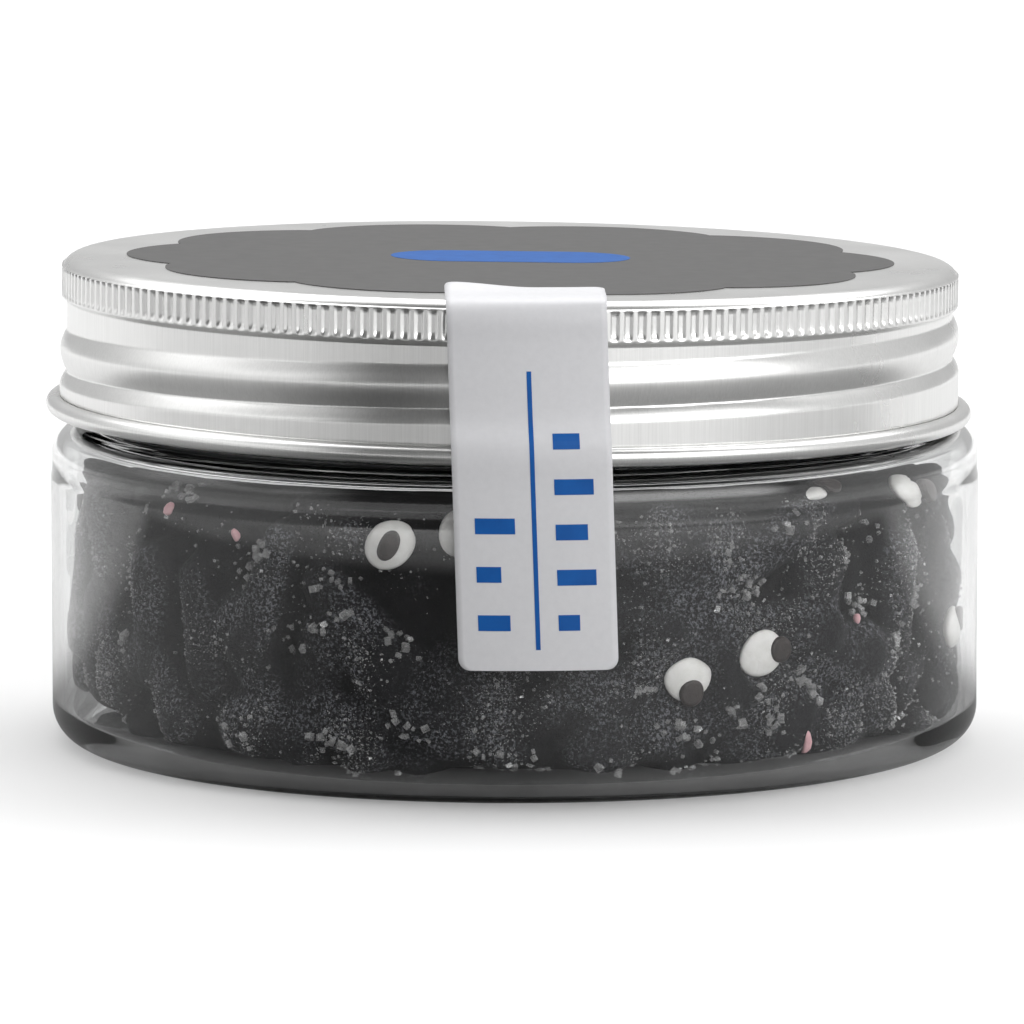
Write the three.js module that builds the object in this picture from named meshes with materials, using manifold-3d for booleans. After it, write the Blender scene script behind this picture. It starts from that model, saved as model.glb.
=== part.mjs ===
// A squat clear jar of black sugared jelly spiders, shut by an aluminium screw lid and a paper seal.
// Millimetres, +Z up. The origin is the centre of the foot. The front of the jar faces -Y.
import * as THREE from "three";
import { mergeVertices } from "three/addons/utils/BufferGeometryUtils.js";
import Module from "manifold-3d";

const wasm = await Module();
wasm.setup();

// Jar
const JAR_RADIUS = 46.5;
const JAR_WALL = 1.1;
const FOOT_INNER_RADIUS = 34;
const FOOT_CORNER = 3.5;
const BASE_PUSH_UP = 0.8;
const FLOOR_DIP = 0.6;
const SHOULDER_START = 28.8;
const SHOULDER_TOP = 31.6;
const NECK_RADIUS = 42.8;
const NECK_TOP = 46.2;
const JAR_SIDES = 50;

// Lid, in its own frame before it is set askew
const LID_TOP = 48;
const LID_RADIUS = 44.8;
const LID_CORNER = 1.5;
const LID_SHEET = 0.5;
const LID_BORE = 43.75;
const KNURL_BOTTOM = 44.1;
const WAIST_RADIUS = 44.3;
const THREAD_CREST = 40.1;
const THREAD_PITCH = 5.08;
const THREAD_HEIGHT = 0.65;
const THREAD_ABOVE = 1.8;
const THREAD_BELOW = 2.3;
const THREAD_ROWS = 9;
const THREAD_SEAM = 0.4;
const ABOVE_CURVE = 1.6;
const BELOW_CURVE = 2;
const STEP_CURVE = 1.4;
const SKIRT_STEP = 1.4;
const SKIRT_RADIUS = 45;
const BEAD_CENTRE = new THREE.Vector2(45.4, 33.3);
const BEAD_RADIUS = 0.92;
const LID_SIDES = 54;
const LID_TILT = THREE.MathUtils.degToRad(0.75);
const LID_SHIFT = -0.6;

// Paper seal and printed label
const GAP = 0.3;
const PAPER = 0.3;
const PAPER_GAP = 0.42;
const SEAL_STEPS = 26;
const SEAL_WIDTH = 15.2;
const SEAL_CORNER = 1.1;
const SEAL_ANGLE = THREE.MathUtils.degToRad(1.4);
const SEAL_SLANT = Math.tan(THREE.MathUtils.degToRad(1.9));
const SEAL_BOTTOM = 13.2;
const SEAL_TOP_END = 37.4;
const BADGE_RADIUS = 38.4;
const BADGE_LOBES = 10;
const BADGE_LOBE_DEPTH = 3.2;
const BADGE_THICKNESS = 0.12;
const BADGE_GAP = 0.04;
const BADGE_CURVE = 0.8;
const POINTS_PER_LOBE = 6;

// One spider: a round belly, a head and eight stubby legs. Its own axes are ahead, aside and away from the wall.
const ABDOMEN = { at: [-6.4, 0, 4.1], radii: [7.8, 6.8, 4] };
const HEAD = { at: [5.4, 0, 4], radii: [5.8, 5.6, 3.9] };
const LEG_TIP = 3.7;
const LEG_ROOT = 2.2;
const LEG_LENGTH = 14.5;
const LEG_SIDES = 5;
const LEG_FLATNESS = 0.85;
const LEG_DEPTH = 3.2;
const LEG_ASIDE = 3;
const LEG_AHEAD = [4, 0.8, -2.6, -6];
const LEG_SPREAD = [30, 68, 108, 148];

// Where the spiders lie round the wall: the angle from the front and the height of the middle, the way the head
// points, how far the right and the upper part lean away from the wall, and how far the whole has sunk from it.
const SPIDERS_SHOWN = [
  [-12, 21, 105, 0, -0.04, 2.6],
  [24, 16.8, -71, 0, 0.02, 0.8],
  [-48, 20, 15, 0.02, 0.04, 3.2],
  [-24, 5, 205, 0, 0.04, 2],
  [12, 5, 12, -0.02, 0.05, 2.6],
  [-74, 15, 60, -0.05, 0.05, 2.2],
  [54, 20, 20, -0.02, 0, 3],
  [78, 14, 85, -0.04, 0.05, 1.8],
];
// The legs that lie over them against the wall: where the root lies, the way the leg points, how long it is, its
// girth beside that of a common leg and how far it has sunk from the wall.
const LEGS_SHOWN = [
  [-31, 24, -110, 13.6, 0.88, 0],
  [-24.5, 20.5, -49, 14.7, 1.1, 0],
  [-44.5, 20, -80, 12, 0.85, 0.4],
  [-55, 11, 82, 13, 1.1, 0.5],
  [-52, 11, -55, 9, 1, 0.7],
  [-67, 19, 95, 11, 1, 0.5],
  [-66, 15, -85, 10, 1, 0.7],
  [41, 14, 80, 11, 1.1, 0.3],
  [41, 13.5, -10, 10.6, 0.95, 0],
  [60, 12, 95, 13, 1.3, 0.6],
  [12, 10, -100, 9.5, 1.2, 0],
  [32, 9, -65, 8.6, 1.15, 0.1],
  [44, 6, 5, 11, 1, 0.8],
  [-38, 6.5, -25, 12, 1.25, 0.1],
  [-24, 8.5, -60, 11, 1.3, 0.1],
  [-12, 9, -95, 11, 1.15, 0.2],
  [-10, 24, 165, 12, 1.2, 1.3],
  [-28, 29, 20, 12, 1, 1.2],
  [26, 20, -72, 14, 1.55, 0],
  [12, 24, -140, 12, 1.1, 0.5],
  [28, 26, 155, 11, 1.1, 0.4],
  [49, 27, 170, 10, 1, 0.8],
  [72, 25, 100, 11, 1.2, 0.8],
  [74, 10, -60, 11, 1.1, 0.8],
  [-75, 8, 60, 12, 1.1, 0.8],
  [-80, 24, -120, 12, 1.1, 0.8],
];
const LEGS_ROUND_BACK = 16;
const BACK_LEG_HEIGHTS = [21, 8, 15];
const BACK_LEG_LENGTH = 12;
const SPIDERS_ROUND_BACK = 5;
const BACK_FROM = 92;
const BACK_TO = 274;
const LOWER_TIER = 12;
const UPPER_TIER = 18;
const BACK_LEAN_RIGHT = 0.05;
const BACK_LEAN_UP = 0.08;
const BACK_SINK = 1.5;
const LEG_SINK_STEP = 0.2;
const TURN_EACH = 137.5;
const PRESSED_FLAT = 0.4;

// The candy eyes: the angle and height of the white, how it is turned, its half length and half width, and where
// its dark drop lies to the right and up from its middle.
const EYES_SHOWN = [
  [-15.4, 24.6, 40, 2.5, 2.15, 0.05, 0.1],
  [-6.6, 26.2, 80, 2.4, 2, 0.5, 0.9],
  [21.8, 11.7, 10, 2.5, 2, 0, -1.35],
  [32, 13.6, 60, 2.4, 2.15, 1.75, 0.3],
  [60.7, 27.4, 0, 2.4, 1.8, 2.3, -0.2],
  [78, 12, 30, 2.4, 1.9, 0.4, 0.8],
  [112, 21, 20, 2.4, 2, 0.6, -0.8],
  [123, 19, 70, 2.4, 1.9, 1.2, 0.2],
  [196, 9, 50, 2.4, 2, -0.8, 0.6],
  [207, 11, 15, 2.4, 1.9, 0.2, 1.2],
  [262, 22, 100, 2.4, 2, 0.7, 0.9],
];
const WHITE_DEPTH = 1;
const WHITE_HALF_THICKNESS = 0.95;
const PUPIL_RADIUS = 1.3;
const PUPIL_DEPTH = 0.7;
const PUPIL_HALF_THICKNESS = 0.7;

// The heap's own wall
const HEAP_FLOOR = 1.9;
const HEAP_TOP = 29.8;
const HEAP_BOTTOM_BEND = 3.4;
const HEAP_TOP_BEND = 4;
const HEAP_SQUASH = 0.45;
const DEEPEST = 9;
const CORE_DEPTH = 2.3;
const CORE_LEVELS = [-4, 0, 1.5, 4, 10, 17, 24, 27, 31];
const CORE_CROWN = 29;
const CORE_SIDES = 22;
const TRIM = 0.28;

// ---------------------------------------------------------------------------------------------- tools

const point = (radius, height) => new THREE.Vector2(radius, height);

// Points of an arc about a centre, from one angle to another in degrees.
function arc(centre, radius, from, to, steps) {
  return Array.from({ length: steps + 1 }, (_, i) => {
    const a = THREE.MathUtils.degToRad(from + ((to - from) * i) / steps);
    return point(centre.x + radius * Math.cos(a), centre.y + radius * Math.sin(a));
  });
}

// A profile of radius and height, turned about Z.
function turned(profile, sides) {
  return new THREE.LatheGeometry(profile, sides).rotateX(Math.PI / 2);
}

// Moves every vertex of a geometry by a function of its place.
function moved(geometry, place) {
  const position = geometry.getAttribute("position");
  const v = new THREE.Vector3();
  for (let i = 0; i < position.count; i++) {
    place(v.fromBufferAttribute(position, i));
    position.setXYZ(i, v.x, v.y, v.z);
  }
  return geometry;
}

function toSolid(geometry) {
  const bare = geometry.clone();
  bare.deleteAttribute("normal");
  bare.deleteAttribute("uv");
  const merged = mergeVertices(bare, 1e-3);
  return new wasm.Manifold(
    new wasm.Mesh({
      numProp: 3,
      vertProperties: new Float32Array(merged.getAttribute("position").array),
      triVerts: new Uint32Array(merged.index.array),
    }),
  );
}

// The outer skin of a solid: pockets that its pieces close in are filled, and loose scraps are dropped.
function outerSkin(solid) {
  return solid.decompose().reduce((largest, body) => (body.volume() > largest.volume() ? body : largest));
}

function toGeometry(solid) {
  const mesh = solid.getMesh();
  return new THREE.BufferGeometry()
    .setAttribute("position", new THREE.BufferAttribute(mesh.vertProperties, 3))
    .setIndex(new THREE.BufferAttribute(mesh.triVerts, 1));
}

function named(name, geometry, colour, roughness, metalness, extra = {}) {
  const material = new THREE.MeshStandardMaterial({ color: colour, roughness, metalness, ...extra });
  const mesh = new THREE.Mesh(geometry, material);
  mesh.name = name;
  geometry.computeVertexNormals();
  return mesh;
}

// ---------------------------------------------------------------------------------------------- jar

const JAR_INSIDE = JAR_RADIUS - JAR_WALL;
const JAR_FLOOR = JAR_WALL + BASE_PUSH_UP;
const SHOULDER_CORNER = SHOULDER_TOP - SHOULDER_START;
const INNER_CORNER = FOOT_CORNER - 0.5;

// The inside of the jar, from its mouth to the middle of its floor.
function jarInside() {
  const bend = SHOULDER_CORNER - JAR_WALL;
  return [
    point(NECK_RADIUS - JAR_WALL, NECK_TOP),
    point(NECK_RADIUS - JAR_WALL, SHOULDER_TOP - JAR_WALL),
    ...arc(point(JAR_INSIDE - bend, SHOULDER_TOP - JAR_WALL - bend), bend, 70, 0, 2),
    ...arc(point(JAR_INSIDE - INNER_CORNER, JAR_FLOOR + INNER_CORNER - FLOOR_DIP), INNER_CORNER, 0, -80, 3),
    point(0, JAR_FLOOR),
  ];
}

function jar() {
  const shoulder = point(JAR_RADIUS - SHOULDER_CORNER, SHOULDER_START);
  const outside = [
    point(0, BASE_PUSH_UP),
    point(FOOT_INNER_RADIUS - 2, BASE_PUSH_UP),
    point(FOOT_INNER_RADIUS, 0),
    ...arc(point(JAR_RADIUS - FOOT_CORNER, FOOT_CORNER), FOOT_CORNER, -90, 0, 4),
    ...arc(shoulder, SHOULDER_CORNER, 0, 90, 4),
    point(NECK_RADIUS, SHOULDER_TOP + 0.1),
    point(NECK_RADIUS, NECK_TOP),
  ];
  return turned([...outside, ...jarInside()], JAR_SIDES);
}

// ---------------------------------------------------------------------------------------------- lid

// The lid's radius in its waist, a number of turns from the front: a rolled ridge that climbs a pitch in a turn to
// the right, and below it the step out to the skirt.
function threadRadius(height, turns) {
  const off = height - (THREAD_CREST + THREAD_PITCH * turns);
  const above = THREE.MathUtils.clamp(off / THREAD_ABOVE, 0, 1);
  const below = THREE.MathUtils.clamp(-off / THREAD_BELOW, 0, 1);
  const ridge = THREAD_HEIGHT * (1 - above ** ABOVE_CURVE) * (1 - below ** BELOW_CURVE);
  const step = THREE.MathUtils.clamp((-off - THREAD_BELOW) / SKIRT_STEP, 0, 1);
  return WAIST_RADIUS + ridge + (SKIRT_RADIUS - WAIST_RADIUS) * (1 - (1 - step) ** STEP_CURVE);
}

// At the back the ridge runs out at the top as the next turn begins below it.
function waistRadius(x, y, height) {
  const from = Math.atan2(x, -y) / (2 * Math.PI);
  const turns = from < -THREAD_SEAM ? from + 1 : from;
  const next = THREE.MathUtils.smoothstep(turns, THREAD_SEAM, 1 - THREAD_SEAM);
  return THREE.MathUtils.lerp(threadRadius(height, turns), threadRadius(height, turns - 1), next);
}

function lid() {
  const low = BEAD_CENTRE.y + BEAD_RADIUS;
  const high = KNURL_BOTTOM - 0.6;
  const threadRows = Array.from({ length: THREAD_ROWS + 1 }, (_, i) =>
    point(WAIST_RADIUS, THREE.MathUtils.lerp(high, low + 0.1, i / THREAD_ROWS)),
  );
  const corner = point(LID_RADIUS - LID_CORNER, LID_TOP - LID_CORNER);
  const profile = [
    point(0, LID_TOP),
    ...arc(corner, LID_CORNER, 90, 0, 3),
    point(LID_RADIUS, KNURL_BOTTOM),
    ...threadRows,
    point(SKIRT_RADIUS - 0.3, low - 0.25),
    ...arc(BEAD_CENTRE, BEAD_RADIUS, 120, -150, 5),
    point(LID_BORE, BEAD_CENTRE.y),
    point(LID_BORE, LID_TOP - LID_SHEET),
    point(0, LID_TOP - LID_SHEET),
  ];
  return moved(turned(profile.reverse(), LID_SIDES), (v) => {
    const radius = Math.hypot(v.x, v.y);
    if (radius < LID_BORE + 0.1 || v.z > high + 0.01 || v.z < low + 0.05) return;
    const scale = waistRadius(v.x, v.y, v.z) / radius;
    v.set(v.x * scale, v.y * scale, v.z);
  });
}

// ---------------------------------------------------------------------------------------------- paper

// The seal's way over the lid's edge, past the bead and down the jar, as a curve of radius and height.
function sealPath() {
  const over = LID_TOP + PAPER_GAP + 0.13;
  const out = LID_RADIUS + PAPER_GAP;
  const wall = JAR_RADIUS + PAPER_GAP;
  return new THREE.CatmullRomCurve3(
    [
      [SEAL_TOP_END, over],
      [SEAL_TOP_END + 3, over],
      [out - 1.8, over - 0.05],
      [out - 0.45, over - 0.6],
      [out, over - 2.2],
      [out, KNURL_BOTTOM],
      [out + 0.2, 40],
      [out + 0.55, 36.6],
      [wall - 0.15, 34.6],
      [wall, 33],
      [wall, 29],
      [wall, SEAL_BOTTOM],
    ].map(([radius, height]) => new THREE.Vector3(radius, 0, height)),
    false,
    "centripetal",
  );
}

function seal() {
  const path = sealPath();
  const length = path.getLength();
  const box = new THREE.BoxGeometry(SEAL_WIDTH, length, PAPER, 4, SEAL_STEPS, 1);
  const rounded = (fromEnd) => {
    const d = Math.min(Math.max(fromEnd, 0), SEAL_CORNER);
    return SEAL_CORNER - Math.sqrt(SEAL_CORNER ** 2 - (SEAL_CORNER - d) ** 2);
  };
  return moved(box, (v) => {
    const along = length / 2 - v.y;
    const fromEnd = Math.min(along, length - along);
    const half = SEAL_WIDTH / 2 - rounded(fromEnd);
    const across = Math.sign(v.x) * Math.min(Math.abs(v.x), half);
    const share = THREE.MathUtils.clamp(along / length, 0, 1);
    const p = path.getPointAt(share);
    const t = path.getTangentAt(share);
    const radius = p.x - t.z * v.z;
    const height = p.z + t.x * v.z;
    const angle = SEAL_ANGLE + (SEAL_SLANT * (LID_TOP - p.z)) / JAR_RADIUS;
    const spread = across / Math.max(radius, LID_RADIUS);
    // On the lid's top the paper keeps its width; down the side it bends round the jar.
    const sideways = radius * Math.sin(angle + spread);
    const onTop = radius * Math.sin(angle) + across;
    const flat = THREE.MathUtils.smoothstep(height, LID_TOP - 1, LID_TOP);
    const depth = THREE.MathUtils.lerp(radius * Math.cos(angle + spread), radius * Math.cos(spread), flat);
    v.set(THREE.MathUtils.lerp(sideways, onTop, flat), -depth, height);
  });
}

// The printed label on the lid: a disc with a scalloped edge.
function badge() {
  const count = BADGE_LOBES * POINTS_PER_LOBE;
  const outline = Array.from({ length: count }, (_, i) => {
    const a = (2 * Math.PI * i) / count;
    const lobe = Math.abs(Math.cos((a * BADGE_LOBES) / 2)) ** BADGE_CURVE;
    const radius = BADGE_RADIUS - BADGE_LOBE_DEPTH * (1 - lobe);
    return point(radius * Math.cos(a), radius * Math.sin(a));
  });
  const shape = new THREE.Shape(outline);
  const disc = new THREE.ExtrudeGeometry(shape, { depth: BADGE_THICKNESS, bevelEnabled: false });
  return disc.translate(0, 0, LID_TOP + BADGE_GAP);
}

// ---------------------------------------------------------------------------------------------- spiders

// A leg along +Y, which grows fatter towards its round tip.
function legShape(length, girth) {
  const tip = LEG_TIP * girth;
  const root = LEG_ROOT * girth;
  return new THREE.LatheGeometry(
    [point(0, -root / 2), point(root, 0), ...arc(point(0, length - tip), tip, 15, 90, 2)],
    LEG_SIDES,
  );
}

// The pieces of one spider, in its own axes.
function spiderPieces() {
  const ball = ({ at, radii }, around, rings) =>
    new THREE.SphereGeometry(1, around, rings).rotateX(Math.PI / 2).scale(...radii).translate(...at);
  const pieces = [ball(ABDOMEN, 8, 5), ball(HEAD, 7, 4)];
  for (const side of [-1, 1]) {
    LEG_AHEAD.forEach((ahead, i) => {
      const turn = side * THREE.MathUtils.degToRad(LEG_SPREAD[i]) - Math.PI / 2;
      const leg = legShape(LEG_LENGTH, 1).rotateZ(turn).scale(1, 1, LEG_FLATNESS);
      pieces.push(leg.translate(ahead, side * LEG_ASIDE, LEG_DEPTH));
    });
  }
  return pieces;
}

// The radius and height of a thing that lies at a height on the wall and at a depth behind it. The heap's wall
// runs up the inside of the jar, bent in to the floor below and to the shoulder above. Behind it the same curve
// moves in, up from the floor and down from the shoulder.
function heapWall(height, depth) {
  const low = HEAP_FLOOR + HEAP_SQUASH * depth + HEAP_BOTTOM_BEND;
  const high = HEAP_TOP - HEAP_SQUASH * depth - HEAP_TOP_BEND;
  const below = height < low;
  const bend = below ? HEAP_BOTTOM_BEND : HEAP_TOP_BEND;
  const past = below ? low - height : Math.max(height - high, 0);
  const turn = Math.min(past / bend, Math.PI / 2);
  const level = below ? low : Math.min(height, high);
  const radius = JAR_INSIDE - GAP - depth - bend * (1 - Math.cos(turn)) - (past - turn * bend);
  const place = level + (below ? -1 : 1) * bend * Math.sin(turn);
  return point(radius, radius < FOOT_INNER_RADIUS + 6 ? Math.max(place, JAR_FLOOR + GAP) : place);
}

// Lays a piece on the wall, turned by a heading, which presses flat what would pass it.
function onWall(angle, height, heading, leanRight = 0, leanUp = 0, sink = 0) {
  const a = THREE.MathUtils.degToRad(heading);
  return (v) => {
    const right = v.x * Math.cos(a) + v.y * Math.sin(a);
    const up = v.x * Math.sin(a) - v.y * Math.cos(a);
    const depth = Math.max(v.z + sink + leanRight * right + leanUp * up, 0);
    const at = heapWall(height + up, DEEPEST * (1 - Math.exp(-depth / DEEPEST)));
    const around = THREE.MathUtils.degToRad(angle) + right / (JAR_INSIDE - GAP);
    v.set(at.x * Math.sin(around), -at.x * Math.cos(around), at.y);
  };
}

// The spiders round the back follow a rule: two tiers by turns, each turned by the golden angle from the last.
function spidersRoundBack() {
  return Array.from({ length: SPIDERS_ROUND_BACK }, (_, k) => {
    const angle = THREE.MathUtils.lerp(BACK_FROM, BACK_TO, (k + 0.5) / SPIDERS_ROUND_BACK);
    const height = k % 2 ? LOWER_TIER : UPPER_TIER;
    return [angle, height, (TURN_EACH * k) % 360, BACK_LEAN_RIGHT * ((k % 3) - 1), BACK_LEAN_UP, BACK_SINK];
  });
}

// So do the legs against the wall there, in three tiers.
function legsRoundBack() {
  return Array.from({ length: LEGS_ROUND_BACK }, (_, k) => {
    const angle = THREE.MathUtils.lerp(BACK_FROM - 10, BACK_TO + 10, (k + 0.5) / LEGS_ROUND_BACK);
    const length = BACK_LEG_LENGTH + (k % 3);
    return [angle, BACK_LEG_HEIGHTS[k % 3], (TURN_EACH * k) % 360, length, 1, LEG_SINK_STEP * (k % 4)];
  });
}

function spiders() {
  return [...SPIDERS_SHOWN, ...spidersRoundBack()].flatMap(([angle, height, heading, leanRight, leanUp, sink]) => {
    const place = onWall(angle, height, heading, leanRight, leanUp, sink - PRESSED_FLAT);
    return spiderPieces().map((piece) => toSolid(moved(piece, place)));
  });
}

function legs() {
  return [...LEGS_SHOWN, ...legsRoundBack()].map(([angle, height, way, length, girth, sink]) => {
    const depth = LEG_DEPTH + LEG_TIP * (girth - 1) * LEG_FLATNESS;
    const leg = legShape(length, girth).scale(1, 1, LEG_FLATNESS).translate(0, 0, depth);
    return toSolid(moved(leg, onWall(angle, height, way + 90, 0, 0, sink - PRESSED_FLAT)));
  });
}

// A candy eye is a white button with a dark drop on it.
function eyes() {
  const button = (halfLength, halfWidth, halfThickness, depth) =>
    new THREE.SphereGeometry(1, 6, 4).rotateX(Math.PI / 2).scale(halfLength, halfWidth, halfThickness)
      .translate(0, 0, depth);
  return EYES_SHOWN.flatMap(([angle, height, turn, halfLength, halfWidth, toRight, toUp]) => {
    const white = button(halfLength, halfWidth, WHITE_HALF_THICKNESS, WHITE_DEPTH);
    const pupil = button(PUPIL_RADIUS, PUPIL_RADIUS, PUPIL_HALF_THICKNESS, PUPIL_DEPTH);
    const aside = THREE.MathUtils.radToDeg(toRight / (JAR_INSIDE - GAP));
    return [
      toSolid(moved(white, onWall(angle, height, turn))),
      toSolid(moved(pupil, onWall(angle + aside, height + toUp, 0))),
    ];
  });
}

// The heap's core follows the heap's wall at a depth, so that the spiders stand out of it.
function core() {
  const skin = CORE_LEVELS.map((level) => heapWall(level, CORE_DEPTH));
  return turned([point(0, skin[0].y), ...skin, point(0, CORE_CROWN)], CORE_SIDES);
}

function heap() {
  const pieces = [toSolid(core()), ...spiders(), ...legs(), ...eyes()];
  return toGeometry(outerSkin(outerSkin(wasm.Manifold.union(pieces)).simplify(TRIM)));
}

// ---------------------------------------------------------------------------------------------- the object

const object = new THREE.Group();
object.add(
  named("jar", jar(), 0xeef0f0, 0.05, 0, { transparent: true, opacity: 0.3 }),
  named("jelly_spiders", heap(), 0x2a2a2d, 0.7, 0),
  named("paper_seal", seal(), 0xe6e6ea, 0.6, 0),
);

const closure = new THREE.Group();
closure.add(
  named("lid", lid(), 0xc8c7c4, 0.35, 1),
  named("lid_label", badge(), 0x4a4a4a, 0.5, 0),
);
closure.rotation.y = LID_TILT;
closure.position.x = LID_SHIFT - BEAD_CENTRE.y * Math.sin(LID_TILT);
closure.position.z = BEAD_CENTRE.y * (1 - Math.cos(LID_TILT));
object.add(closure);

export default object;
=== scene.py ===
"""The looks of a squat clear jar of black sugared jelly spiders under an aluminium screw lid.

Sizes and places are in millimetres until a mesh is made, +Z up, with the front of the jar facing -Y.
"""
import math

import bmesh
import bpy
import numpy as np
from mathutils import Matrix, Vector


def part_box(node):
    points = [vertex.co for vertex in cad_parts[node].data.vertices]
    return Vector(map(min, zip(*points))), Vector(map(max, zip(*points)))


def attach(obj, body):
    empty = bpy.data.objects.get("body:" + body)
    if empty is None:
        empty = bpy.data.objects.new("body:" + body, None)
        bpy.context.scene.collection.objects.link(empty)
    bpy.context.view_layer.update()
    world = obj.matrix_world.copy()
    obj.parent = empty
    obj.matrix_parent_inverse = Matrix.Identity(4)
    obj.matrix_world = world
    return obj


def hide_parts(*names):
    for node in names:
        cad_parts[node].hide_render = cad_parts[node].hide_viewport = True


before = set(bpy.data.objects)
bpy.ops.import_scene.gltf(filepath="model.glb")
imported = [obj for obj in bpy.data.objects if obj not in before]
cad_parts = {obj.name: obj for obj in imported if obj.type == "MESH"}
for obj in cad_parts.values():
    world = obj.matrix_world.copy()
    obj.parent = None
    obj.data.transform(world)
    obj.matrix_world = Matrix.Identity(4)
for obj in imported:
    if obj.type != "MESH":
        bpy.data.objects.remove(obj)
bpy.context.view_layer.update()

MM = 0.001


def size_of(node):
    """The lowest and highest corner of a node, in millimetres."""
    low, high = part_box(node)
    return np.array(low) / MM, np.array(high) / MM


# -------------------------------------------------- sizes

JAR_RADIUS = size_of("jar")[1][1]
NECK_TOP = size_of("jar")[1][2]
JAR_WALL = 1.1
JAR_SIDES = 256
FOOT_CORNER = 3.5
FOOT_INNER_RADIUS = 34
BASE_PUSH_UP = 0.8
SHOULDER_START = 28.8
SHOULDER_BEND = 2.8
NECK_RADIUS = 42.8
BODY_STEP = 26.8
STEP_IN = 0.13
JAR_INSIDE = JAR_RADIUS - JAR_WALL

LID_TOP = 48
LID_RADIUS = 44.8
LID_CORNER = 1.5
LID_SHEET = 0.3
LID_BORE = 43.8
KNURL_TOP = 47.15
KNURL_BOTTOM = 44.1
KNURL_RIBS = 212
KNURL_DEPTH = 0.3
SLOT_EDGE = (0.30, 0.20)
SLOT_FADES_BELOW = 0.7
SLOT_FADES_ABOVE = 0.3
WAIST_RADIUS = 44.3
THREAD_CREST = 40.1
THREAD_PITCH = 5.08
THREAD_HEIGHT = 0.65
THREAD_ABOVE = 1.8
THREAD_BELOW = 2.3
SKIRT_STEP = 1.4
SKIRT_RADIUS = 45
BEAD_CENTRE = (45.4, 33.3)
BEAD_RADIUS = 0.92
LID_SIDES = 424
LID_TILT = math.radians(0.75)
LID_SHIFT = -0.6

SEAL_WIDTH = 15.2
SEAL_CORNER = 1.1
SEAL_ANGLE = math.radians(1.4)
SEAL_SLANT = math.tan(math.radians(1.9))
SEAL_BOTTOM = 13.2
SEAL_TOP_END = 37.4
SEAL_CURL = 0.5
PAPER = 0.14
PAPER_GAP = 0.06

BADGE_RADIUS = 38.4
BADGE_LOBES = 10
BADGE_LOBE_DEPTH = 3.2
BADGE_STEPS = 36
PILL_LENGTH = 24
PILL_WIDTH = 12
PILL_BACK = 1

GAP = 0.3
HEAP_FLOOR = 1.6
HEAP_TOP = 29.8
HEAP_BOTTOM_BEND = 3.4
HEAP_TOP_BEND = 4
HEAP_SQUASH = 0.45
HEAP_SIDE = JAR_INSIDE - GAP
RAISED_FLOOR = JAR_WALL + BASE_PUSH_UP + GAP

ABDOMEN = ((-6.4, 0, 4.1), (7.8, 6.8, 4))
HEAD = ((5.4, 0, 4), (5.8, 5.6, 3.9))
LEG_TIP = 3.7
LEG_ROOT = 2.4
LEG_LENGTH = 14.5
LEG_FLATNESS = 0.85
LEG_DEPTH = 3.2
LEG_ASIDE = 3
LEG_AHEAD = (4, 0.8, -2.6, -6)
LEG_SPREAD = (30, 68, 108, 148)
PRESSED_FLAT = 0.4
DEEPEST = 9

# Where the spiders lie round the wall: the angle from the front and the height of the middle, the way the
# head points, how far the right and the upper part lean away from the wall, and how far the whole has sunk
# from it.
SPIDERS_SHOWN = [
    (-12, 21, 105, 0, -0.04, 2.6),
    (24, 16.8, -71, 0, 0.02, 0.8),
    (-48, 20, 15, 0.02, 0.04, 3.2),
    (-24, 5, 205, 0, 0.04, 2),
    (12, 5, 12, -0.02, 0.05, 2.6),
    (-74, 15, 60, -0.05, 0.05, 2.2),
    (54, 20, 20, -0.02, 0, 3),
    (78, 14, 85, -0.04, 0.05, 1.8),
]
# The legs that lie over them against the wall: where the root lies, the way the leg points, how long it is,
# its girth beside that of a common leg and how far it has sunk from the wall.
LEGS_SHOWN = [
    (-31, 24, -110, 13.6, 0.88, 0),
    (-24.5, 20.5, -49, 14.7, 1.1, 0),
    (-44.5, 20, -80, 12, 0.85, 0.4),
    (-55, 11, 82, 13, 1.1, 0.5),
    (-52, 11, -55, 9, 1, 0.7),
    (-67, 19, 95, 11, 1, 0.5),
    (-66, 15, -85, 10, 1, 0.7),
    (41, 14, 80, 11, 1.1, 0.3),
    (41, 13.5, -10, 10.6, 0.95, 0),
    (60, 12, 95, 13, 1.3, 0.6),
    (12, 10, -100, 9.5, 1.2, 0),
    (32, 9, -65, 8.6, 1.15, 0.1),
    (44, 6, 5, 11, 1, 0.8),
    (-38, 6.5, -25, 12, 1.25, 0.1),
    (-24, 8.5, -60, 11, 1.3, 0.1),
    (-12, 9, -95, 11, 1.15, 0.2),
    (-10, 24, 165, 12, 1.2, 1.3),
    (-28, 29, 20, 12, 1, 1.2),
    (26, 20, -72, 14, 1.55, 0),
    (12, 24, -140, 12, 1.1, 0.5),
    (28, 26, 155, 11, 1.1, 0.4),
    (49, 27, 170, 10, 1, 0.8),
    (72, 25, 100, 11, 1.2, 0.8),
    (74, 10, -60, 11, 1.1, 0.8),
    (-75, 8, 60, 12, 1.1, 0.8),
    (-80, 24, -120, 12, 1.1, 0.8),
]
LEGS_ROUND_BACK = 16
BACK_LEG_HEIGHTS = (21, 8, 15)
SPIDERS_ROUND_BACK = 5
BACK_FROM = 92
BACK_TO = 274
LOWER_TIER = 12
UPPER_TIER = 18
TURN_EACH = 137.5
SPIDERS_BEHIND = 14
BEHIND_SINK = 5
SPIDERS_BELOW = [-30, -6, 16, 37, 90, 140, 190, 240]
BELOW_HEIGHT = 1.5
BELOW_SINK = 1
CORE_DEPTH = 7
CORE_TOP_DEPTH = 3
CORE_FILLS_OUT = (18, 26)
CORE_ROWS = 24
CORE_SIDES = 120
VOXEL = 0.6

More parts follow.
